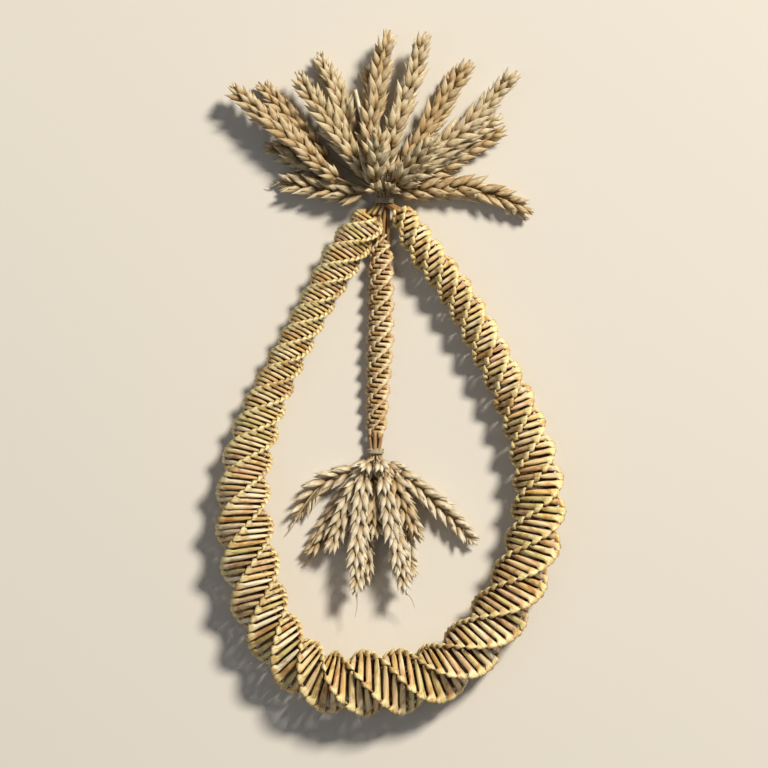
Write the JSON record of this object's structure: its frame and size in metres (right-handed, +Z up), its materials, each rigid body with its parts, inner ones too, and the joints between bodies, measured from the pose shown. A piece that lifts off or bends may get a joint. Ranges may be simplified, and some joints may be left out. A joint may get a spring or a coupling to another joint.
{
  "type": "straw ornament (corn dolly)",
  "caption": "Drop-shaped loop of spirally plaited straw, crowned with a fan of wheat ears, with a thin plait and a spray of ears hanging inside.",
  "frame": {"origin": "on the floor, under the middle of the ornament's box as it lies on its back", "axes": "+Z up from the floor to the front of the ornament, +Y from the foot of the loop to the fan of ears, +X to the right seen from the front"},
  "size_m": [0.1752, 0.343, 0.0405],
  "materials": {
    "plaited_straw": "dry wheat straw, plaited damp and dried, softly glossy",
    "wheat_ear": "ripe dry wheat ears, matt chaff with a faint sheen",
    "linen_thread": "undyed grey linen thread, matt"
  },
  "bodies": {
    "root": {"drop_plait": "plaited_straw", "pendant_plait": "plaited_straw", "top_tie": "linen_thread", "pendant_tie": "linen_thread", "top_ear_01": "wheat_ear", "top_ear_02": "wheat_ear", "top_ear_03": "wheat_ear", "top_ear_04": "wheat_ear", "top_ear_05": "wheat_ear", "top_ear_06": "wheat_ear", "top_ear_07": "wheat_ear", "top_ear_08": "wheat_ear", "top_ear_09": "wheat_ear", "top_ear_10": "wheat_ear", "top_ear_11": "wheat_ear", "top_ear_12": "wheat_ear", "top_ear_13": "wheat_ear", "top_ear_14": "wheat_ear", "top_ear_15": "wheat_ear", "top_ear_16": "wheat_ear", "pendant_ear_01": "wheat_ear", "pendant_ear_02": "wheat_ear", "pendant_ear_03": "wheat_ear", "pendant_ear_04": "wheat_ear", "pendant_ear_05": "wheat_ear", "pendant_ear_06": "wheat_ear", "pendant_ear_07": "wheat_ear", "pendant_ear_08": "wheat_ear", "pendant_ear_09": "wheat_ear", "pendant_ear_10": "wheat_ear"}
  },
  "joints": []
}
